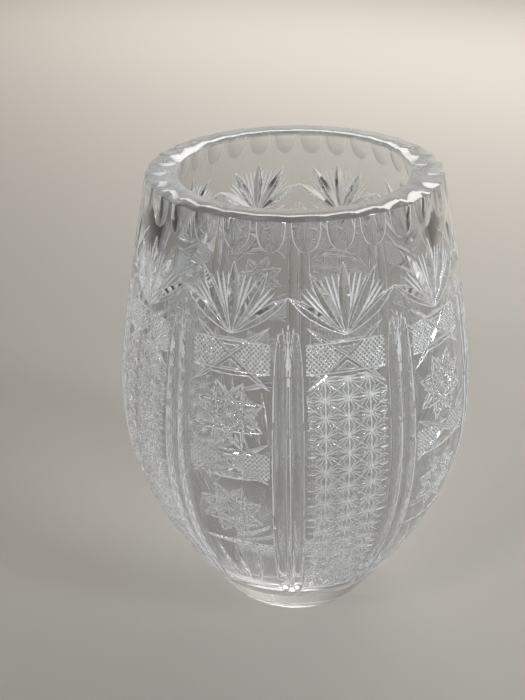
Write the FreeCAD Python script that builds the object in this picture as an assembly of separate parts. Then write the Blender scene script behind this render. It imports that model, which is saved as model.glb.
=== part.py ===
import FreeCAD, Part
import math
import os

# Cut crystal vase, millimetres, +Z up, origin at the middle of the underside.
# The vase is one thick-walled barrel of lead glass with wheel-cut decoration.
# Ten equal bays go round it. The glass is handed out as the zones that a cutter
# works one after another: rim, fans, panels, columns and foot. The zones meet
# face to face on flat planes, and together they make the whole vase.

# Overall form
height = 255.0
foot_radius = 43.5
belly_radius = 97.0
belly_height = 131.0
rim_radius = 76.5
mouth_radius = 60.1
floor_thickness = 20.0
foot_bevel = 1.5

# Heights where one zone ends and the next begins
fan_zone_bottom = 204.0
rim_zone_bottom = 238.5

# Bays
bays = 10
bay_angle = 360.0 / bays
first_panel_angle = -110.0
column_half_angle = 4.8
panel_half_angle = bay_angle / 2 - column_half_angle

# Rim scallops
scallops_per_bay = 3
scallop_depth = 1.1
scallop_foot_height = 241.0
scallop_cutter_radius = 22.0

# Fans of blade cuts above each panel: tip angle from the fan's middle, tip height
fan_root_height = 201.5
fan_tips = ((0.0, 236.3), (11.4, 232.0), (-11.4, 232.0), (17.6, 220.0), (-17.6, 220.0))
fan_root_gap = 0.06
blade_depth = 2.2

# Flutes, two to a column
flute_angle = 2.8
flute_top = 203.0
flute_bottom = 30.0
flute_depth = 1.6
flute_cutter_radius = 4.5

# Mitre cuts common to every panel
mitre_half_angle = 52.0
mitre_depth = 1.5
panel_edge_angle = 12.6
cross_top = 206.0
cross_foot = 174.0
belt_heights = (198.0, 183.3)
hem_height = 34.0

# Hobstar panels
hobstars = ((160.6, 19.0), (104.0, 18.0))
hobstar_points = 8
hobstar_skip = 3
chord_depth = 1.1
second_cross_top = 147.5
second_cross_foot = 125.0
second_belt_heights = (141.0, 127.7)
lower_belt_height = 80.0

# Star panels
star_rows = 13
star_row_pitch = 9.75
star_top_row = 170.3
star_line_depth = 0.8

outer_points = (
    (foot_radius, 0.0),
    (66.0, 34.0),
    (87.2, 75.0),
    (belly_radius, belly_height),
    (92.6, 173.0),
    (85.4, 213.0),
    (rim_radius, height),
)
inner_points = (
    (mouth_radius, height),
    (70.6, 218.0),
    (79.6, 175.0),
    (84.8, 131.0),
    (75.0, 76.0),
    (57.5, 41.0),
    (38.0, floor_thickness),
)


up = FreeCAD.Vector(0, 0, 1)
centre_line = FreeCAD.Vector(0, 0, 0)


def spline(points):
    """An edge through (radius, height) points in the XZ plane."""
    curve = Part.BSplineCurve()
    curve.interpolate([FreeCAD.Vector(r, 0, z) for r, z in points])
    return curve.toShape()


outer_edge = spline(outer_points)


def outer_radius(z):
    """Radius of the uncut outer face at a height."""
    level = Part.Plane(FreeCAD.Vector(0, 0, z), up)
    return outer_edge.Curve.intersect(level)[0][0].X


def surface_point(angle, z, depth=0.0):
    """The point at an azimuth and height, sunk by depth below the outer face."""
    low = max(z - 0.5, 0.0)
    high = min(z + 0.5, height)
    slope = (outer_radius(high) - outer_radius(low)) / (high - low)
    length = math.hypot(1.0, slope)
    radius = outer_radius(z) - depth / length
    a = math.radians(angle)
    return FreeCAD.Vector(radius * math.cos(a), radius * math.sin(a), z + depth * slope / length)


def outward(angle, z):
    """Unit normal of the outer face."""
    return (surface_point(angle, z) - surface_point(angle, z, 1.0)).normalize()


def mitre(start, end, depth, end_depth=-0.15):
    """A V cut between two (azimuth, height) ends, square to the glass and deepest at its middle."""
    middle = ((start[0] + end[0]) / 2, (start[1] + end[1]) / 2)
    first = surface_point(start[0], start[1], end_depth)
    last = surface_point(end[0], end[1], end_depth)
    keel = surface_point(middle[0], middle[1], depth)
    out = outward(*middle) * (depth + 2.5)
    side = (last - first).cross(out).normalize()
    side = side * (out.Length * math.tan(math.radians(mitre_half_angle)))
    left = keel + out + side
    right = keel + out - side
    corners = (
        (first, keel, left),
        (first, right, keel),
        (last, left, keel),
        (last, keel, right),
        (first, left, right),
        (last, right, left),
    )
    faces = [Part.Face(Part.makePolygon([p, q, r, p])) for p, q, r in corners]
    solid = Part.Solid(Part.Shell(faces))
    if solid.Volume < 0:
        solid.reverse()
    return solid


def scallop(angle):
    """A round-bottomed notch that takes the outer edge off the rim."""
    foot = surface_point(angle, scallop_foot_height)
    top = surface_point(angle, height, scallop_depth)
    along = (top - foot).normalize()
    out = outward(angle, height)
    start = foot - along * 12 + out * scallop_cutter_radius
    return Part.makeCylinder(scallop_cutter_radius, 45.0, start, along)


def flute(angle):
    """A shallow round groove that follows the profile and fades at both ends."""
    steps = 8
    points = []
    for i in range(steps + 1):
        t = i / steps
        z = flute_bottom + (flute_top - flute_bottom) * t
        depth = flute_depth * (1 - (2 * t - 1) ** 4) - 0.4 * (2 * t - 1) ** 4
        points.append(surface_point(angle, z, depth - flute_cutter_radius))
    path = Part.BSplineCurve()
    path.interpolate(points)
    edge = path.toShape()
    start = edge.valueAt(edge.FirstParameter)
    tangent = edge.tangentAt(edge.FirstParameter)
    ring = Part.Wire(Part.makeCircle(flute_cutter_radius, start, tangent))
    return Part.Wire(edge).makePipeShell([ring], True, True)


def fan_cuts():
    """Blade cuts that spread from just above one root."""
    cuts = []
    for side, top in fan_tips:
        root = (side * fan_root_gap, fan_root_height + (top - fan_root_height) * fan_root_gap)
        cuts.append(mitre(root, (side, top), blade_depth))
    return cuts


def cross_cuts(high, low):
    """Two mitres that cross between the panel's edges."""
    edge = panel_edge_angle
    return [mitre((-edge, high), (edge, low), mitre_depth), mitre((edge, high), (-edge, low), mitre_depth)]


def belt_cut(z):
    """A level mitre from edge to edge of a panel."""
    return mitre((-panel_edge_angle, z), (panel_edge_angle, z), mitre_depth)


def panel_cuts():
    """Cuts that every panel has: the top cross, its two belts and the curved hem."""
    cuts = cross_cuts(cross_top, cross_foot)
    cuts += [belt_cut(z) for z in belt_heights]
    cuts.append(belt_cut(hem_height))
    return cuts


def hobstar_cuts(centre, radius):
    """Chords of a star polygon whose middle is left for the rosette."""
    tips = []
    for i in range(hobstar_points):
        a = 2 * math.pi * (i + 0.5) / hobstar_points
        side = math.degrees(radius * math.cos(a) / outer_radius(centre))
        tips.append((side, centre + radius * math.sin(a)))
    ends = tips[hobstar_skip:] + tips[:hobstar_skip]
    return [mitre(tip, end, chord_depth) for tip, end in zip(tips, ends)]


def hobstar_panel_cuts():
    """Two hobstars with a belted cross between them."""
    cuts = panel_cuts()
    cuts += cross_cuts(second_cross_top, second_cross_foot)
    cuts += [belt_cut(z) for z in second_belt_heights]
    cuts.append(belt_cut(lower_belt_height))
    for centre, radius in hobstars:
        cuts += hobstar_cuts(centre, radius)
    return cuts


def star_panel_cuts():
    """The level lines that the small stars stand on."""
    cuts = panel_cuts()
    for row in range(star_rows):
        z = star_top_row - row * star_row_pitch
        cuts.append(mitre((-panel_edge_angle, z), (panel_edge_angle, z), star_line_depth))
    return cuts


def rim_and_column_cuts():
    """Scallops over one bay and a little more, and the flutes of the columns at its two sides."""
    cuts = []
    pitch = bay_angle / scallops_per_bay
    for i in range(-2, 3):
        cuts.append(scallop(i * pitch))
    for side in (-1, 1):
        for offset in (-flute_angle, flute_angle):
            cuts.append(flute(side * bay_angle / 2 + offset))
    return cuts


def glass_block(half_angle):
    """Uncut glass of the wall, floor and foot over a wedge about azimuth 0."""
    rim_outside = FreeCAD.Vector(rim_radius, 0, height)
    rim_inside = FreeCAD.Vector(mouth_radius, 0, height)
    floor_point = FreeCAD.Vector(inner_points[-1][0], 0, floor_thickness)
    floor_middle = FreeCAD.Vector(0, 0, floor_thickness)
    foot_edge = FreeCAD.Vector(foot_radius, 0, 0)
    base_middle = FreeCAD.Vector(0, 0, 0)
    edges = [
        outer_edge,
        Part.makeLine(rim_outside, rim_inside),
        spline(inner_points),
        Part.makeLine(floor_point, floor_middle),
        Part.makeLine(floor_middle, base_middle),
        Part.makeLine(base_middle, foot_edge),
    ]
    face = Part.Face(Part.Wire(Part.__sortEdges__(edges)))
    face.rotate(centre_line, up, -half_angle)
    return face.revolve(centre_line, up, 2 * half_angle)


def zone(low, high, start_angle, end_angle):
    """A wedge between two heights, for taking a zone out of the glass."""
    base = FreeCAD.Vector(0, 0, low)
    wedge = Part.makeCylinder(2 * belly_radius, high - low, base, up, end_angle - start_angle)
    wedge.rotate(centre_line, up, start_angle)
    return wedge


def piece(glass, low, high, start_angle, end_angle):
    """One zone of the carved glass as a single solid."""
    solids = glass.common(zone(low, high, start_angle, end_angle)).Solids
    return max(solids, key=lambda s: s.Volume)


def place(shape, angle, name):
    """Turn a zone to its azimuth and write it out."""
    turned = shape.copy()
    turned.rotate(centre_line, up, angle)
    turned.exportStep("parts/" + name + ".step")


def foot():
    """The solid base disc under the floor, with its bottom edge bevelled."""
    disc = piece(glass_block(180.0), 0.0, floor_thickness, 0.0, 360.0)
    rim_edges = [e for e in disc.Edges if e.BoundBox.ZMax < 0.01 and e.BoundBox.XMax > foot_radius - 0.01]
    return disc.makeChamfer(foot_bevel, [e for e in rim_edges if e.Length > foot_radius])


os.makedirs("parts", exist_ok=True)
foot().exportStep("parts/foot.step")

block = glass_block(bay_angle / 2 + column_half_angle).cut(rim_and_column_cuts())
upper = block.cut(fan_cuts())
hobstar_block = block.cut(hobstar_panel_cuts())
star_block = block.cut(star_panel_cuts())

half_bay = bay_angle / 2
rim = piece(upper, rim_zone_bottom, height, -half_bay, half_bay)
fan = piece(upper, fan_zone_bottom, rim_zone_bottom, -half_bay, half_bay)
panel_span = (floor_thickness, fan_zone_bottom, -panel_half_angle, panel_half_angle)
hobstar_panel = piece(hobstar_block, *panel_span)
star_panel = piece(star_block, *panel_span)
column_span = (floor_thickness, fan_zone_bottom, panel_half_angle, bay_angle - panel_half_angle)
column = piece(block, *column_span)

for bay in range(bays):
    azimuth = first_panel_angle + bay * bay_angle
    place(rim, azimuth, "rim_" + str(bay + 1))
    place(fan, azimuth, "fan_" + str(bay + 1))
    place(column, azimuth, "column_" + str(bay + 1))
    if bay % 2 == 0:
        place(hobstar_panel, azimuth, "hobstar_panel_" + str(bay // 2 + 1))
    else:
        place(star_panel, azimuth, "star_panel_" + str(bay // 2 + 1))
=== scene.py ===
import math

import bpy
import numpy as np
from mathutils import Matrix, Vector


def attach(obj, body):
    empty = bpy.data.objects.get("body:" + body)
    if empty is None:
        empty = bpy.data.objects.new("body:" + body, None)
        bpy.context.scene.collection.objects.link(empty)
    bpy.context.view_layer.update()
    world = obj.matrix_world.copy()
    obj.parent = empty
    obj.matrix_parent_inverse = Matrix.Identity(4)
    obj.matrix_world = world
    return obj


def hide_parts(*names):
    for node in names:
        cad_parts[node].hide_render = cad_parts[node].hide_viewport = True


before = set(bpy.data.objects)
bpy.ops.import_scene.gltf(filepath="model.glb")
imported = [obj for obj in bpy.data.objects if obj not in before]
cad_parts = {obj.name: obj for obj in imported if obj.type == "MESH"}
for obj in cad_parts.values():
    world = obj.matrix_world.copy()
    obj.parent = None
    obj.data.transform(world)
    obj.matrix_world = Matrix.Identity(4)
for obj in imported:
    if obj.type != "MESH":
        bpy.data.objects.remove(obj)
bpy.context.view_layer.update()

# Cut crystal vase. One closed glass mesh carries every cut: a fine grid is wrapped
# round the outer profile and sunk by the depth of the deepest cut at each point.
# Azimuths are in degrees from the middle of a bay, heights and depths in millimetres.

MM = 0.001

# ---------------------------------------------------------------- driving sizes

HEIGHT = 255.0
FOOT_RADIUS = 43.5
FOOT_BEVEL = 1.5
FLOOR_HEIGHT = 20.0
RIM_BEVEL = 0.5
OUTER = ((FOOT_RADIUS, 0), (66, 34), (87.2, 75), (97, 131), (92.6, 173), (85.4, 213),
         (76.5, HEIGHT))
INNER = ((60.1, HEIGHT), (70.6, 218), (79.6, 175), (84.8, 131), (75, 76), (57.5, 41),
         (38, FLOOR_HEIGHT))

BAYS = 10
BAY = 360.0 / BAYS
FIRST_BAY = -110.0
HALF = BAY / 2
EDGE = 12.6

# From LEVEL_FROM up, over LEVEL_BAND, cuts turn from square to the glass to level, so that
# the rim stays flat.
LEVEL_FROM = HEIGHT - 6
LEVEL_BAND = 5.0

COLUMNS_PER_BAY = 160
ROWS = 740
INNER_STEP = 4
INNER_ROWS = 150
SPLINE_SAMPLES = 4001
PROFILE_SAMPLES = 6001
SLIDE_SHARE = 0.45
SHARP_ANGLE = 85

MITRE = math.tan(math.radians(52))
FINE = math.tan(math.radians(48))
POLISHED, CUT, SATIN, LIP, BASE = 0, 1, 2, 3, 4

# A band this wide along an edge or keel, or either side of a fine line, is ground.
EDGE_WEAR = 0.28
LINE_WEAR = 0.22

# Only a cut with at least this half width gets grid points on its outer edges.
WIDE_HALF = 0.8

# How far past its own width a cut looks for grid points. A groove also bends with the radius.
CUT_MARGIN = 1.0
GROOVE_MARGIN = 8.0
GROOVE_FULLNESS = 6.0


# ---------------------------------------------------------------- profile

def natural_spline(t, v):
    """Second derivatives of a natural cubic spline through v at t."""
    n = len(t)
    h = np.diff(t)
    a = np.zeros((n, n))
    b = np.zeros(n)
    a[0, 0] = a[-1, -1] = 1.0
    for i in range(1, n - 1):
        a[i, i - 1:i + 2] = h[i - 1], 2 * (h[i - 1] + h[i]), h[i]
        b[i] = 6 * ((v[i + 1] - v[i]) / h[i] - (v[i] - v[i - 1]) / h[i - 1])
    return np.linalg.solve(a, b)


def spline_at(t, v, at):
    """The natural cubic spline through v at t, read at the places in at."""
    m = natural_spline(t, v)
    i = np.clip(np.searchsorted(t, at) - 1, 0, len(t) - 2)
    h = t[i + 1] - t[i]
    p = (t[i + 1] - at) / h
    q = 1 - p
    return p * v[i] + q * v[i + 1] + ((p**3 - p) * m[i] + (q**3 - q) * m[i + 1]) * h * h / 6


def curve(points, count):
    """Radius, height and distance of count points, evenly spaced on a curve through points."""
    p = np.array(points, float)
    t = np.concatenate([[0], np.cumsum(np.hypot(*np.diff(p, axis=0).T))])
    fine = np.linspace(0, t[-1], SPLINE_SAMPLES)
    r, z = spline_at(t, p[:, 0], fine), spline_at(t, p[:, 1], fine)
    s = np.concatenate([[0], np.cumsum(np.hypot(np.diff(r), np.diff(z)))])
    even = np.linspace(0, s[-1], count)
    return np.interp(even, s, r), np.interp(even, s, z), even


OUTER_R, OUTER_Z, OUTER_S = curve(OUTER, PROFILE_SAMPLES)
NORMAL_R = np.gradient(OUTER_Z, OUTER_S)
NORMAL_Z = -np.gradient(OUTER_R, OUTER_S)


def along(z):
    """Distance along the outer profile, from the foot, at a height."""
    return np.interp(z, OUTER_Z, OUTER_S)


def radius(s):
    """Outer radius at a distance along the profile."""
    return np.interp(s, OUTER_S, OUTER_R)


def spot(point):
    """An (azimuth, height) pair as millimetres across the bay and along the profile."""
    s = along(point[1])
    return math.radians(point[0]) * float(radius(s)), float(s)


# ---------------------------------------------------------------- cutting the field

class Field:
    """Depth of the cuts over a bay, and how far each grid point slides to lie on a crease."""

    def __init__(self, azimuth, s, step_azimuth=0.0, step_s=0.0):
        self.r = radius(s)
        self.x = azimuth * self.r
        self.s = s
        self.reach_x = SLIDE_SHARE * step_azimuth * self.r
        self.reach_s = SLIDE_SHARE * step_s
        self.depth = np.zeros_like(self.x)
        self.kind = np.zeros(self.x.shape, np.int8)
        self.slide_x = np.zeros_like(self.x)
        self.slide_s = np.zeros_like(self.x)

    def sink(self, where, depth, kind, slides):
        """Take the cut where it is the deepest so far, and slide its points onto its creases.

        A slide is the distance to a crease, whether to move across the bay or up it, and where
        that is allowed. An outer edge has a mask and takes only glass that isn't cut yet. A keel
        has None and takes every point where this cut is the deepest.
        """
        d = self.depth[where]
        deeper = depth > d
        bare = d <= 0
        move_x = np.zeros_like(d)
        move_s = np.zeros_like(d)
        free = np.ones(d.shape, bool)
        for gap, along_x, allowed in slides:
            reach = self.reach_x[where] if along_x else self.reach_s
            near = free & (np.abs(gap) < reach) & (deeper if allowed is None else allowed & bare)
            (move_x if along_x else move_s)[near] = gap[near]
            free &= ~near
        touched = deeper | ~free
        self.slide_x[where] = np.where(touched, move_x, self.slide_x[where])
        self.slide_s[where] = np.where(touched, move_s, self.slide_s[where])
        self.kind[where] = np.where(deeper, kind, self.kind[where])
        self.depth[where] = np.where(deeper, depth, d)

    def window(self, x0, s0, x1, s1, margin):
        """Grid points in a box round a cut."""
        inside = (self.x > min(x0, x1) - margin) & (self.x < max(x0, x1) + margin)
        return inside & (self.s > min(s0, s1) - margin) & (self.s < max(s0, s1) + margin)

    def cut(self, start, end, depth, kind=CUT, fullness=2.0, bow=0.0, peak=0.5):
        """A straight V cut that is deepest at peak and runs out at both ends. A bow curves it."""
        (x0, s0), (x1, s1) = spot(start), spot(end)
        length = math.hypot(x1 - x0, s1 - s0)
        ux, us = (x1 - x0) / length, (s1 - s0) / length
        where = self.window(x0, s0, x1, s1, depth * MITRE + abs(bow) + CUT_MARGIN)
        px, ps = self.x[where] - x0, self.s[where] - s0
        t = (px * ux + ps * us) / length
        across = ps * ux - px * us - bow * (1 - (2 * t - 1) ** 2)
        u = np.where(t < peak, (t - peak) / peak, (t - peak) / (1 - peak))
        keel = depth * (1 - np.abs(u) ** fullness)
        half_width = np.maximum(keel, 0) * MITRE
        beside = np.abs(across) - half_width
        upright = abs(us) > abs(ux)
        scale = us if upright else -ux
        gap_keel = across / scale
        gap_edge = np.sign(across) * beside / scale
        wide = (half_width > WIDE_HALF) & (t > 0) & (t < 1)
        slides = [(gap_keel, upright, None), (gap_edge, upright, wide)]
        worn = (-beside < EDGE_WEAR) | (np.abs(across) < EDGE_WEAR / 2)
        finish = np.where(worn, SATIN, kind) if kind == CUT else kind
        self.sink(where, keel - np.abs(across) / MITRE, finish, slides)

    def groove(self, start, end, depth, curve_radius):
        """A round-bottomed groove whose azimuth changes evenly from start to end."""
        (x0, s0), (x1, s1) = spot(start), spot(end)
        half = math.sqrt(2 * curve_radius * depth)
        a0, a1 = math.radians(start[0]), math.radians(end[0])
        where = self.window(x0, s0, x1, s1, half + GROOVE_MARGIN)
        t = (self.s[where] - s0) / (s1 - s0)
        across = self.x[where] - (a0 + (a1 - a0) * t) * self.r[where]
        keel = depth * (1 - np.abs(2 * t - 1) ** GROOVE_FULLNESS)
        half_width = np.sqrt(2 * curve_radius * np.maximum(keel, 0))
        gap_edge = np.sign(across) * (half_width - np.abs(across))
        wide = (half_width > WIDE_HALF) & (t > 0) & (t < 1)
        worn = (half_width - np.abs(across) < EDGE_WEAR) & (half_width > 0)
        finish = np.where(worn, SATIN, CUT)
        round_floor = keel - across**2 / (2 * curve_radius)
        self.sink(where, round_floor, finish, [(gap_edge, True, wide)])

    def lines(self, inside, angle, pitch, depth):
        """Parallel V lines inside a region, at an angle above the horizontal."""
        nx, ns = -math.sin(angle), math.cos(angle)
        q = (self.x[inside] * nx + self.s[inside] * ns) / pitch
        off = (q - np.round(q)) * pitch
        upright = abs(nx) > abs(ns)
        gap = -off / (nx if upright else ns)
        finish = np.where(np.abs(off) < LINE_WEAR, SATIN, CUT)
        self.sink(inside, depth - np.abs(off) / FINE, finish, [(gap, upright, None)])

    def region(self, *corners):
        """Grid points inside a convex outline, given as (azimuth, height) corners in order."""
        pts = [spot(c) for c in corners]
        inside = np.ones(self.x.shape, bool)
        area = sum(a[0] * b[1] - b[0] * a[1] for a, b in zip(pts, pts[1:] + pts[:1]))
        turn = 1 if area > 0 else -1
        for a, b in zip(pts, pts[1:] + pts[:1]):
            left_of = (b[0] - a[0]) * (self.s - a[1]) - (b[1] - a[1]) * (self.x - a[0])
            inside &= turn * left_of >= 0
        return inside


# ---------------------------------------------------------------- the pattern

SCALLOPS_PER_BAY = 3
SCALLOP_DEPTH = 1.05
SCALLOP_FOOT = 241.0
SCALLOP_RADIUS = 22.0
SCALLOP_LEAD = 0.05
SCALLOP_REACH = 0.49

FAN_ROOT = (0.0, 201.5)
FAN_TIPS = ((-HALF, 220.5), (-11.4, 232.0), (0.0, 236.3), (11.4, 232.0), (HALF, 220.5))
BLADE_DEPTH = 2.3
BLADE_PEAK = 0.56
RAYS = 4
RAY_START = 0.30
RAY_REACH = 0.80
RAY_SWELL = 0.10
RAY_DEPTH = 0.42
RAY_FULLNESS = 3.0
RAY_PEAK = 0.6

# A flute runs each side of a column, at an azimuth offset that narrows towards the head.
FLUTE_OFFSET = 2.85
FLUTE_FOOT_SHARE, FLUTE_FOOT = 1.05, 28
FLUTE_HEAD_SHARE, FLUTE_HEAD = 0.8, 204
FLUTE_DEPTH = 1.6
FLUTE_RADIUS = 4.0

# Fine lines fan out at the head of a column. The outer ones end lower and start higher.
HEAD_LINE_STEP, HEAD_LINE_TOP, HEAD_LINE_DROP = 1.7, 209.0, 2.5
ROOT_LINE_STEP, ROOT_LINE_FOOT, ROOT_LINE_LIFT = 0.4, 174.0, 5.0
HEAD_LINE_DEPTH = 0.6
HEAD_LINE_PEAK = 0.7

CROSSES = ((206.5, 175.0), (147.8, 124.6))
CROSS_DEPTH = 1.35
CROSS_FULLNESS = 3.0
BELT_DEPTH = 1.5
BELTS = ((198.0, 183.3), (141.2, 127.7))
LOW_BELT = 81.0
CELL_START = 0.8
HATCH_PITCH = 1.7
HATCH_DEPTH = HATCH_PITCH / 2 / FINE
HATCH_ANGLE = math.radians(48)

HOBSTARS = ((160.6, 19.0), (104.5, 18.0))
HOB_POINTS = 8
HOB_SKIP = 3
CHORD_DEPTH = 0.85
CHORD_FULLNESS = 4.0
HOB_RAY_DEPTH = 0.6
# Turn from the middle of a gap, in radians, and share of the star's size.
GAP_RAY_START = (0.07, 0.46)
GAP_RAY_END = (0.16, 0.82)
KITE_RAY_START, KITE_RAY_END = 0.52, 0.78
ROSETTE_RADIUS = 7.2
ROSETTE_PETALS = 16
ROSETTE_CLEARING = 0.3
PETAL_START = 0.3
PETAL_DEPTH = 1.05
PETAL_PEAK = 0.65

STAR_PITCH_AZIMUTH = 7.0
STAR_PITCH = 9.75
STAR_TOP = 170.3
STAR_DEPTH = 0.72
STAR_FULLNESS = 0.7
STAR_AXES = ((1, 0), (0, 1), (1, 1), (1, -1), (2, 1), (2, -1), (1, 2), (1, -2))
DASH_LENGTH = 3.2
DASH_DEPTH = 0.55

HEM = 34.5
HEM_OVERRUN = 0.6
HEM_DROP = 1.5
HEM_DEPTH = 1.7
HEM_BOW = 2.2
LATTICE_TOP = BELTS[0][1] - 1.8
LATTICE_SHOULDER = 6.2
LATTICE_CORNER = CROSSES[0][1] - 2.5
LATTICE_FOOT = HEM + 2.0
LOWEST_DASH = HEM + 4

OLIVE_TOP, OLIVE_TOP_STEP = 77.0, 7.6
OLIVE_FOOT, OLIVE_FOOT_STEP = 42.0, 5.0
OLIVE_DEPTH = 1.5


def toward(a, b, f):
    """The point a share of the way from a to b."""
    return a[0] + (b[0] - a[0]) * f, a[1] + (b[1] - a[1]) * f


def rim_scallops(field):
    """Round notches that deepen towards the rim."""
    foot, top = along(SCALLOP_FOOT), along(HEIGHT)
    t = (field.s - foot) / (top - foot)
    where = t > -SCALLOP_LEAD
    t = t[where]
    pitch = math.radians(BAY / SCALLOPS_PER_BAY) * field.r[where]
    across = field.x[where] - np.round(field.x[where] / pitch) * pitch
    keel = SCALLOP_DEPTH * (1 - (1 - t) ** 3)
    half_width = np.sqrt(2 * SCALLOP_RADIUS * np.maximum(keel, 0))
    gap = np.sign(across) * (half_width - np.abs(across))
    wide = (half_width > WIDE_HALF) & (np.abs(across) < pitch * SCALLOP_REACH)
    worn = (half_width - np.abs(across) < EDGE_WEAR) & (half_width > 0)
    finish = np.where(worn, SATIN, CUT)
    round_floor = keel - across**2 / (2 * SCALLOP_RADIUS)
    field.sink(where, round_floor, finish, [(gap, True, wide)])


def fan(field):
    """Five blades from one root, with hairline rays between them."""
    for left, right in zip(FAN_TIPS, FAN_TIPS[1:]):
        for i in range(RAYS):
            f = (i + 1) / (RAYS + 1)
            tip = (left[0] + (right[0] - left[0]) * f, left[1] + (right[1] - left[1]) * f)
            reach = RAY_REACH + RAY_SWELL * math.sin(math.pi * f)
            start, end = toward(FAN_ROOT, tip, RAY_START), toward(FAN_ROOT, tip, reach)
            field.cut(start, end, RAY_DEPTH, kind=SATIN, fullness=RAY_FULLNESS, peak=RAY_PEAK)
    for tip in FAN_TIPS:
        field.cut(FAN_ROOT, tip, BLADE_DEPTH, peak=BLADE_PEAK)


def column(field, side):
    """The column at one edge of the bay: its flutes and the fine lines at its head."""
    middle = side * HALF
    for offset in (-FLUTE_OFFSET, FLUTE_OFFSET):
        foot = (middle + offset * FLUTE_FOOT_SHARE, FLUTE_FOOT)
        head = (middle + offset * FLUTE_HEAD_SHARE, FLUTE_HEAD)
        field.groove(foot, head, FLUTE_DEPTH, FLUTE_RADIUS)
    for i in range(-2, 3):
        head = (middle + i * HEAD_LINE_STEP, HEAD_LINE_TOP - abs(i) * HEAD_LINE_DROP)
        foot = (middle + i * ROOT_LINE_STEP, ROOT_LINE_FOOT + abs(i) * ROOT_LINE_LIFT)
        field.cut(foot, head, HEAD_LINE_DEPTH, peak=HEAD_LINE_PEAK)


def crossed_belts(field, cross, belts):
    """Two mitres that cross, two level belts, and cross-hatching beside the crossing."""
    high, low = cross
    middle = (high + low) / 2
    top, bottom = belts
    side = EDGE * (top - middle) / (high - middle)
    for sign in (-1, 1):
        cell = field.region((sign * CELL_START, middle), (sign * side, top), (sign * EDGE, top),
                            (sign * EDGE, bottom), (sign * side, bottom))
        for angle in (HATCH_ANGLE, -HATCH_ANGLE):
            field.lines(cell, angle, HATCH_PITCH, HATCH_DEPTH)
    for z in belts:
        field.cut((-EDGE, z), (EDGE, z), BELT_DEPTH)
    for sign in (-1, 1):
        start, end = (-sign * EDGE, high), (sign * EDGE, low)
        field.cut(start, end, CROSS_DEPTH, fullness=CROSS_FULLNESS)


def hobstar(field, centre, size):
    """An eight-pointed star of crossing chords round a rosette, with rays in its outer kites."""
    r = float(radius(along(centre)))

    def polar(angle, reach):
        """The (azimuth, height) at an angle and a distance from the star's centre."""
        return math.degrees(reach * math.cos(angle) / r), centre + reach * math.sin(angle)

    step = 2 * math.pi / HOB_POINTS
    for i in range(HOB_POINTS):
        gap = i * step
        for j in (-1, 1):
            start = polar(gap + j * GAP_RAY_START[0], size * GAP_RAY_START[1])
            end = polar(gap + j * GAP_RAY_END[0], size * GAP_RAY_END[1])
            field.cut(start, end, HOB_RAY_DEPTH)
        a = (i + 0.5) * step
        field.cut(polar(a, size * KITE_RAY_START), polar(a, size * KITE_RAY_END), HOB_RAY_DEPTH)
    for i in range(HOB_POINTS):
        a, b = (i + 0.5) * step, (i + 0.5 + HOB_SKIP) * step
        field.cut(polar(a, size), polar(b, size), CHORD_DEPTH, fullness=CHORD_FULLNESS)
    clear = ROSETTE_RADIUS + ROSETTE_CLEARING
    hub = field.window(0, along(centre), 0, along(centre), clear)
    bare = np.hypot(field.x[hub], field.s[hub] - along(centre)) < clear
    for grid in (field.depth, field.kind, field.slide_x, field.slide_s):
        grid[hub] = np.where(bare, 0, grid[hub])
    for i in range(ROSETTE_PETALS):
        a = (i + 0.5) * 2 * math.pi / ROSETTE_PETALS
        start, end = polar(a, PETAL_START), polar(a, ROSETTE_RADIUS)
        field.cut(start, end, PETAL_DEPTH, peak=PETAL_PEAK)


def star_lattice(field):
    """Sixteen-rayed small stars on a grid, with short level dashes down both edges."""
    lattice = field.region((-EDGE, LATTICE_CORNER), (-LATTICE_SHOULDER, LATTICE_TOP),
                           (LATTICE_SHOULDER, LATTICE_TOP), (EDGE, LATTICE_CORNER),
                           (EDGE, LATTICE_FOOT), (-EDGE, LATTICE_FOOT))
    pitch_x = math.radians(STAR_PITCH_AZIMUTH) * field.r[lattice]
    x = field.x[lattice]
    x = x - np.round(x / pitch_x) * pitch_x
    s = field.s[lattice] - along(STAR_TOP)
    s = s - np.round(s / STAR_PITCH) * STAR_PITCH
    for a, b in STAR_AXES:
        dx, ds = a * pitch_x, b * STAR_PITCH
        length = np.hypot(dx, ds)
        dx, ds = dx / length, ds / length
        main = abs(a * b) < 2
        reach = length / (2 if main else 4)
        out = np.abs(x * dx + s * ds) / reach
        across = s * dx - x * ds
        deepest = STAR_DEPTH if main else STAR_DEPTH / 2
        keel = deepest * np.sin(math.pi * np.clip(out, 0, 1)) ** STAR_FULLNESS
        upright = abs(b) > abs(a)
        gap = across / ds if upright else -across / dx
        finish = np.where(np.abs(across) < LINE_WEAR, SATIN, CUT)
        field.sink(lattice, keel - np.abs(across) / FINE, finish, [(gap, upright, None)])
    for side in (-1, 1):
        z = STAR_TOP
        while z > LOWEST_DASH:
            field.cut((side * EDGE, z), (side * (EDGE - DASH_LENGTH), z), DASH_DEPTH)
            z -= STAR_PITCH / 2


def panel(field):
    """What every panel has: its top cross with belts, and the hem above the foot."""
    crossed_belts(field, CROSSES[0], BELTS[0])
    reach, z = EDGE + HEM_OVERRUN, HEM - HEM_DROP
    field.cut((-reach, z), (reach, z), HEM_DEPTH, bow=HEM_BOW)


def hobstar_bay(field):
    """Two hobstars with a second cross between them, and a low belt over three olive cuts."""
    panel(field)
    for centre, size in HOBSTARS:
        hobstar(field, centre, size)
    crossed_belts(field, CROSSES[1], BELTS[1])
    field.cut((-EDGE, LOW_BELT), (EDGE, LOW_BELT), BELT_DEPTH)
    for i in (-1, 0, 1):
        field.cut((i * OLIVE_TOP_STEP, OLIVE_TOP), (i * OLIVE_FOOT_STEP, OLIVE_FOOT), OLIVE_DEPTH)


def star_bay(field):
    """A field of small stars under the top cross."""
    star_lattice(field)
    panel(field)


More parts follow.
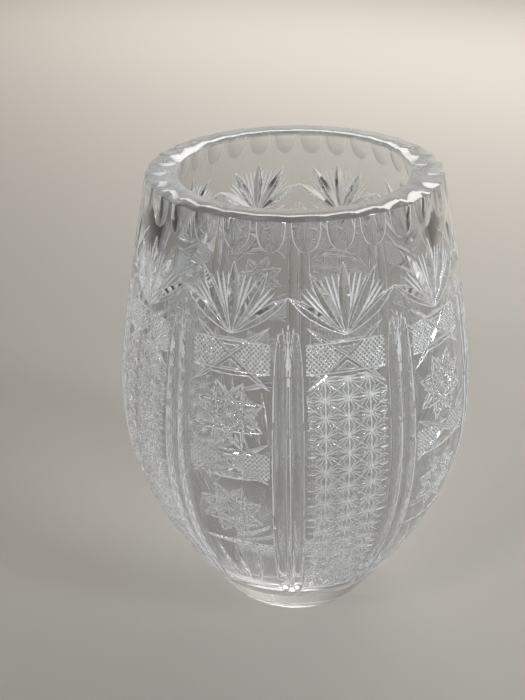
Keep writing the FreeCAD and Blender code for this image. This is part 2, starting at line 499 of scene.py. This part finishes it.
def cut_bay(field, kind):
    """All the cuts over one bay: kind 0 is a hobstar bay, and kind 1 a star bay."""
    (hobstar_bay if kind == 0 else star_bay)(field)
    column(field, -1)
    column(field, 1)
    fan(field)
    rim_scallops(field)


# ---------------------------------------------------------------- glass mesh

def outer_grid(kind):
    """Azimuth, distance along the profile, depth, finish and diagonal choice of one bay.

    The first pass finds how far each point slides, the second cuts at the slid points, and the
    third, at the middle of each square, picks its finish and the diagonal that fits it best.
    """
    step = math.radians(BAY) / COLUMNS_PER_BAY
    azimuth = -math.radians(HALF) + step * np.arange(COLUMNS_PER_BAY + 1)
    levels = np.linspace(along(FOOT_BEVEL), along(HEIGHT - RIM_BEVEL), ROWS)
    a, s = np.meshgrid(azimuth, levels)
    first = Field(a, s, step, levels[1] - levels[0])
    cut_bay(first, kind)
    edge = np.zeros(a.shape, bool)
    edge[:, 0] = edge[:, -1] = True
    slide_a = np.where(edge, 0, first.slide_x / first.r)
    slide_s = first.slide_s.copy()
    slide_s[0] = slide_s[-1] = 0
    slide_s[:, 0] = slide_s[:, -1] = 0
    a, s = a + slide_a, s + slide_s
    second = Field(a, s)
    cut_bay(second, kind)

    def mean(g):
        """The middle of each square of the grid."""
        return (g[:-1, :-1] + g[:-1, 1:] + g[1:, :-1] + g[1:, 1:]) / 4

    centre = Field(mean(a), mean(s))
    cut_bay(centre, kind)
    d = second.depth
    rising = np.abs((d[:-1, :-1] + d[1:, 1:]) / 2 - centre.depth)
    falling = np.abs((d[:-1, 1:] + d[1:, :-1]) / 2 - centre.depth)
    return a, s, d, centre.kind, rising <= falling


def place(a, s, d):
    """Points on the outer face, sunk square to the glass, or level just under the rim."""
    r, z = radius(s), np.interp(s, OUTER_S, OUTER_Z)
    nr, nz = np.interp(s, OUTER_S, NORMAL_R), np.interp(s, OUTER_S, NORMAL_Z)
    level = np.clip((z - LEVEL_FROM) / LEVEL_BAND, 0, 1)
    r = r - d * nr
    z = z - d * nz * (1 - level)
    return np.stack([r * np.cos(a), r * np.sin(a), z], axis=-1)


def whole_outer():
    """The outer face all round: points, triangles and their finishes."""
    kinds = [outer_grid(0), outer_grid(1)]
    total = COLUMNS_PER_BAY * BAYS
    points = np.zeros((ROWS, total, 3))
    tris, finish = [], []
    row = np.arange(ROWS - 1)[:, None] * total
    for bay in range(BAYS):
        a, s, d, kind, rising = kinds[bay % 2]
        turned = a + math.radians(FIRST_BAY + bay * BAY)
        start = bay * COLUMNS_PER_BAY
        points[:, start:start + COLUMNS_PER_BAY] = place(turned, s, d)[:, :-1]
        col = start + np.arange(COLUMNS_PER_BAY)[None, :]
        nxt = (col + 1) % total
        p, q = row + col, row + nxt
        u, v = q + total, p + total
        up = np.stack([np.stack([p, q, u], -1), np.stack([p, u, v], -1)], -2)
        down = np.stack([np.stack([p, q, v], -1), np.stack([q, u, v], -1)], -2)
        tris.append(np.where(rising[..., None, None], up, down).reshape(-1, 3))
        finish.append(np.repeat(kind.reshape(-1), 2))
    return points.reshape(-1, 3), np.concatenate(tris), np.concatenate(finish)


def ring(r, z, angles):
    """Points at the given angles round the axis. The radius may differ from point to point."""
    return np.stack([r * np.cos(angles), r * np.sin(angles), np.full(len(angles), z)], -1)


def strip(low, high, count):
    """Triangles between two rings of the same count, low below or outside high."""
    i = np.arange(count)
    j = (i + 1) % count
    first = np.stack([low + i, low + j, high + j], -1)
    second = np.stack([low + i, high + j, high + i], -1)
    return np.concatenate([first, second])


def cap(rim, centre, count, flip=False):
    """Triangles from a ring to a point at its centre. Flip turns them to face down."""
    i = np.arange(count)
    j = (i + 1) % count
    mid = np.full(count, centre)
    return np.stack([i + rim, mid, j + rim] if flip else [i + rim, j + rim, mid], -1)


def stepped(fine, coarse, count):
    """Triangles from a fine ring to a ring with one point for every INNER_STEP."""
    k = np.arange(count)
    n = count * INNER_STEP
    nxt = coarse + (k + 1) % count
    here = coarse + k
    half = INNER_STEP // 2
    out = []
    for i in range(INNER_STEP):
        a = fine + (k * INNER_STEP + i) % n
        b = fine + (k * INNER_STEP + i + 1) % n
        out.append(np.stack([a, b, here if i < half else nxt], -1))
    out.append(np.stack([fine + (k * INNER_STEP + half) % n, nxt, here], -1))
    return np.concatenate(out)


def glass():
    """The whole vase as one closed mesh."""
    outer, tris, finish = whole_outer()
    total = COLUMNS_PER_BAY * BAYS
    start = math.radians(FIRST_BAY - HALF)
    angles = start + 2 * math.pi * np.arange(total) / total
    coarse_count = total // INNER_STEP
    coarse = angles[::INNER_STEP]
    blocks, faces, finishes, smooth = [outer], [tris], [finish], [np.ones(len(tris), bool)]
    base = len(outer)

    def add(points, made, finish=POLISHED, wall=False):
        """Append points and the faces that use them. A wall is shaded smooth."""
        nonlocal base
        blocks.append(points)
        base += len(points)
        faces.append(made)
        finishes.append(np.full(len(made), finish, np.int8))
        smooth.append(np.full(len(made), wall))

    top_row = outer[-total:]
    top_angle = np.arctan2(top_row[:, 1], top_row[:, 0])
    top_radius = np.hypot(top_row[:, 0], top_row[:, 1]) - RIM_BEVEL
    first_lip = base
    lip = ring(top_radius, HEIGHT, top_angle)
    # The lip and its inner edge take the LIP finish, whose dark tint is painted shade on the rim.
    add(lip, strip(len(outer) - total, first_lip, total), LIP)

    r, z, _ = curve(INNER, INNER_ROWS)
    mouth = base
    mouth_ring = ring(r[0] + RIM_BEVEL, HEIGHT, coarse)
    add(mouth_ring, stepped(first_lip, mouth, coarse_count), LIP)
    below = mouth
    z[0] = HEIGHT - RIM_BEVEL
    for k in range(INNER_ROWS):
        here = base
        add(ring(r[k], z[k], coarse), strip(below, here, coarse_count), wall=k > 0)
        below = here
    centre = base
    add(np.array([[0.0, 0.0, FLOOR_HEIGHT]]), cap(below, centre, coarse_count))

    foot = base
    add(ring(FOOT_RADIUS - FOOT_BEVEL, 0.0, angles), strip(foot, 0, total), BASE)
    under = base
    add(np.array([[0.0, 0.0, 0.0]]), cap(foot, under, total, flip=True), BASE)
    return [np.concatenate(part) for part in (blocks, faces, finishes, smooth)]


def make_mesh(name, points, tris, finish, smooth, materials):
    """One object from arrays in millimetres, with a material slot for each finish."""
    mesh = bpy.data.meshes.new(name)
    mesh.vertices.add(len(points))
    mesh.vertices.foreach_set("co", (points * MM).astype(np.float32).ravel())
    mesh.loops.add(len(tris) * 3)
    mesh.loops.foreach_set("vertex_index", tris.astype(np.int32).ravel())
    mesh.polygons.add(len(tris))
    mesh.polygons.foreach_set("loop_start", np.arange(0, len(tris) * 3, 3, dtype=np.int32))
    mesh.polygons.foreach_set("material_index", finish.astype(np.int32))
    for m in materials:
        mesh.materials.append(m)
    mesh.update(calc_edges=True)
    mesh.polygons.foreach_set("use_smooth", smooth)
    mesh.set_sharp_from_angle(angle=math.radians(SHARP_ANGLE))
    piece = bpy.data.objects.new(name, mesh)
    bpy.context.scene.collection.objects.link(piece)
    return piece


# ---------------------------------------------------------------- materials

CRYSTAL_IOR = 1.545
# The crystal tint is painted shade: it greys the clear glass to stand in for dark surroundings
# seen through it.
CRYSTAL_PAINTED_SHADE = (0.75, 0.76, 0.765)
GROUND_TINT = (0.98, 0.985, 0.99)
# The lip tint is painted shade: a much darker grey on the rim standing in for the dark
# surroundings the rim reflects.
LIP_PAINTED_SHADE = (0.42, 0.43, 0.44)
SHADOW_COLOUR = (0.75, 0.75, 0.75, 1)
FLOOR_COLOUR = (0.36, 0.335, 0.307)


def crystal(name, roughness, scatter=0.0, tint_and_painted_shade=CRYSTAL_PAINTED_SHADE):
    """Lead crystal that lets light through to its shadow. A ground face also scatters a share.
    Its tint darkens the clear glass as painted shade, except the near-clear ground tint.
    """
    m = bpy.data.materials.new(name)
    m.use_nodes = True
    shader = m.node_tree.nodes["Principled BSDF"]
    # Base colour: the glass's tint, darkened with painted shade for every finish but the fine
    # cut.
    shader.inputs["Base Color"].default_value = (*tint_and_painted_shade, 1)
    shader.inputs["Transmission Weight"].default_value = 1.0 - scatter
    shader.inputs["IOR"].default_value = CRYSTAL_IOR
    shader.inputs["Roughness"].default_value = roughness
    nodes, links = m.node_tree.nodes, m.node_tree.links
    path = nodes.new("ShaderNodeLightPath")
    clear = nodes.new("ShaderNodeBsdfTransparent")
    clear.inputs["Color"].default_value = SHADOW_COLOUR
    mix = nodes.new("ShaderNodeMixShader")
    links.new(path.outputs["Is Shadow Ray"], mix.inputs["Fac"])
    links.new(shader.outputs["BSDF"], mix.inputs[1])
    links.new(clear.outputs["BSDF"], mix.inputs[2])
    links.new(mix.outputs["Shader"], nodes["Material Output"].inputs["Surface"])
    return m


def plain(name, colour, roughness):
    """An opaque material with one colour."""
    m = bpy.data.materials.new(name)
    m.use_nodes = True
    shader = m.node_tree.nodes["Principled BSDF"]
    shader.inputs["Base Color"].default_value = (*colour, 1)
    shader.inputs["Roughness"].default_value = roughness
    return m


# ---------------------------------------------------------------- stage, light, camera

FLOOR_SIZE = 30.0
FLOOR_GAP = 0.0002
DARK = (0.05, 0.05, 0.054, 1)
CREAM = (0.92, 0.87, 0.79, 1)


def build_stage():
    """A plain floor. The gap keeps it from sharing a plane with the underside of the glass."""
    bpy.ops.mesh.primitive_plane_add(size=FLOOR_SIZE, location=(0, 0, -FLOOR_GAP))
    floor = bpy.context.object
    floor.name = "floor"
    floor.data.materials.append(plain("floor_paper", FLOOR_COLOUR, 0.6))


def area_light(name, location, target, size, power, colour, spread=180):
    """A rectangular light that faces a target. Its spread is in degrees."""
    data = bpy.data.lights.new(name, "AREA")
    data.shape = "RECTANGLE"
    data.size, data.size_y = size
    data.energy = power
    data.color = colour
    data.spread = math.radians(spread)
    lamp = bpy.data.objects.new(name, data)
    lamp.location = location
    lamp.rotation_euler = (Vector(target) - Vector(location)).to_track_quat("-Z", "Y").to_euler()
    bpy.context.scene.collection.objects.link(lamp)


def build_world():
    """A soft room: cream at the back, dark in front and overhead, and dimmer on the left."""
    world = bpy.data.worlds.new("room")
    bpy.context.scene.world = world
    world.use_nodes = True
    nodes, links = world.node_tree.nodes, world.node_tree.links
    background = nodes["Background"]
    where = nodes.new("ShaderNodeTexCoord")
    split = nodes.new("ShaderNodeSeparateXYZ")
    links.new(where.outputs["Generated"], split.inputs[0])
    depth = nodes.new("ShaderNodeMapRange")
    depth.inputs["From Min"].default_value = 0.0
    depth.inputs["From Max"].default_value = 0.6
    links.new(split.outputs["Y"], depth.inputs["Value"])
    wall = nodes.new("ShaderNodeValToRGB")
    wall.color_ramp.elements[0].color = DARK
    wall.color_ramp.elements[1].color = CREAM
    links.new(depth.outputs["Result"], wall.inputs["Fac"])
    rise = nodes.new("ShaderNodeMapRange")
    rise.inputs["From Min"].default_value = 0.35
    rise.inputs["From Max"].default_value = 0.75
    links.new(split.outputs["Z"], rise.inputs["Value"])
    mix = nodes.new("ShaderNodeMix")
    mix.data_type = "RGBA"
    links.new(rise.outputs["Result"], mix.inputs["Factor"])
    links.new(wall.outputs["Color"], mix.inputs["A"])
    mix.inputs["B"].default_value = DARK
    links.new(mix.outputs["Result"], background.inputs["Color"])
    side = nodes.new("ShaderNodeMapRange")
    side.inputs["From Min"].default_value = -0.5
    side.inputs["From Max"].default_value = 0.35
    side.inputs["To Min"].default_value = 0.30
    side.inputs["To Max"].default_value = 1.15
    links.new(split.outputs["X"], side.inputs["Value"])
    links.new(side.outputs["Result"], background.inputs["Strength"])


def build_lights():
    """A cool window on the right, two warm lights on the left, and a wash on the floor behind."""
    area_light("window", location=(1.5, -0.9, 1.2), target=(0, 0, 0.12),
               size=(0.35, 0.7), power=25, colour=(0.86, 0.94, 1.0))
    area_light("lamp", location=(-0.9, -1.1, 1.4), target=(0, 0, 0.15),
               size=(0.28, 0.28), power=12, colour=(1.0, 0.98, 0.95))
    area_light("side_fill", location=(-1.7, -0.7, 0.9), target=(0, 0, 0.12),
               size=(0.2, 0.9), power=2.5, colour=(1.0, 0.96, 0.90))
    area_light("back_wash", location=(0.35, 1.5, 1.15), target=(0.25, 1.35, 0),
               size=(2.4, 0.6), power=25, colour=(1.0, 0.97, 0.92), spread=130)


CAMERA_PLACE = (0, -0.5362, 0.4339)
CAMERA_YAW_PITCH_ROLL = (-1.93, 27.97, -1.13)
CAMERA_LENS = 55.84


def build_camera():
    """The photograph's viewpoint, above the rim and turned a little to the left."""
    yaw, pitch, roll = (math.radians(angle) for angle in CAMERA_YAW_PITCH_ROLL)
    level = math.cos(pitch)
    forward = Vector((math.sin(yaw) * level, math.cos(yaw) * level, -math.sin(pitch)))
    side = forward.cross(Vector((0, 0, 1))).normalized()
    rise = side.cross(forward)
    right = math.cos(roll) * side + math.sin(roll) * rise
    up = math.cos(roll) * rise - math.sin(roll) * side
    data = bpy.data.cameras.new("camera")
    data.lens = CAMERA_LENS
    data.clip_start, data.clip_end = 0.01, 50
    camera = bpy.data.objects.new("camera", data)
    turn = Matrix((right, up, -forward)).transposed()
    camera.matrix_world = Matrix.Translation(CAMERA_PLACE) @ turn.to_4x4()
    bpy.context.scene.collection.objects.link(camera)
    bpy.context.scene.camera = camera


def light_paths():
    """Enough bounces for light to work its way through thick cut glass."""
    cycles = bpy.context.scene.cycles
    cycles.max_bounces = 24
    cycles.transmission_bounces = 24
    cycles.glossy_bounces = 16
    cycles.transparent_max_bounces = 24
    cycles.blur_glossy = 0.5
    bpy.context.scene.view_settings.view_transform = "Standard"


# In the order of the finishes POLISHED, CUT, SATIN, LIP and BASE. All but the fine cut take a
# tint darkened with painted shade.
materials = [
    crystal("crystal_polished", roughness=0.0),
    crystal("crystal_cut", roughness=0.03),
    crystal("crystal_fine_cut", roughness=0.20, scatter=0.70, tint_and_painted_shade=GROUND_TINT),
    # The lip's dark tint is painted shade on the rim.
    crystal("crystal_lip_painted_shade", roughness=0.0, tint_and_painted_shade=LIP_PAINTED_SHADE),
    crystal("crystal_base", roughness=0.15, scatter=0.14),
]
vase = make_mesh("crystal_vase", *glass(), materials)
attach(vase, "root")
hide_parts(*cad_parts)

build_stage()
build_world()
build_lights()
build_camera()
light_paths()
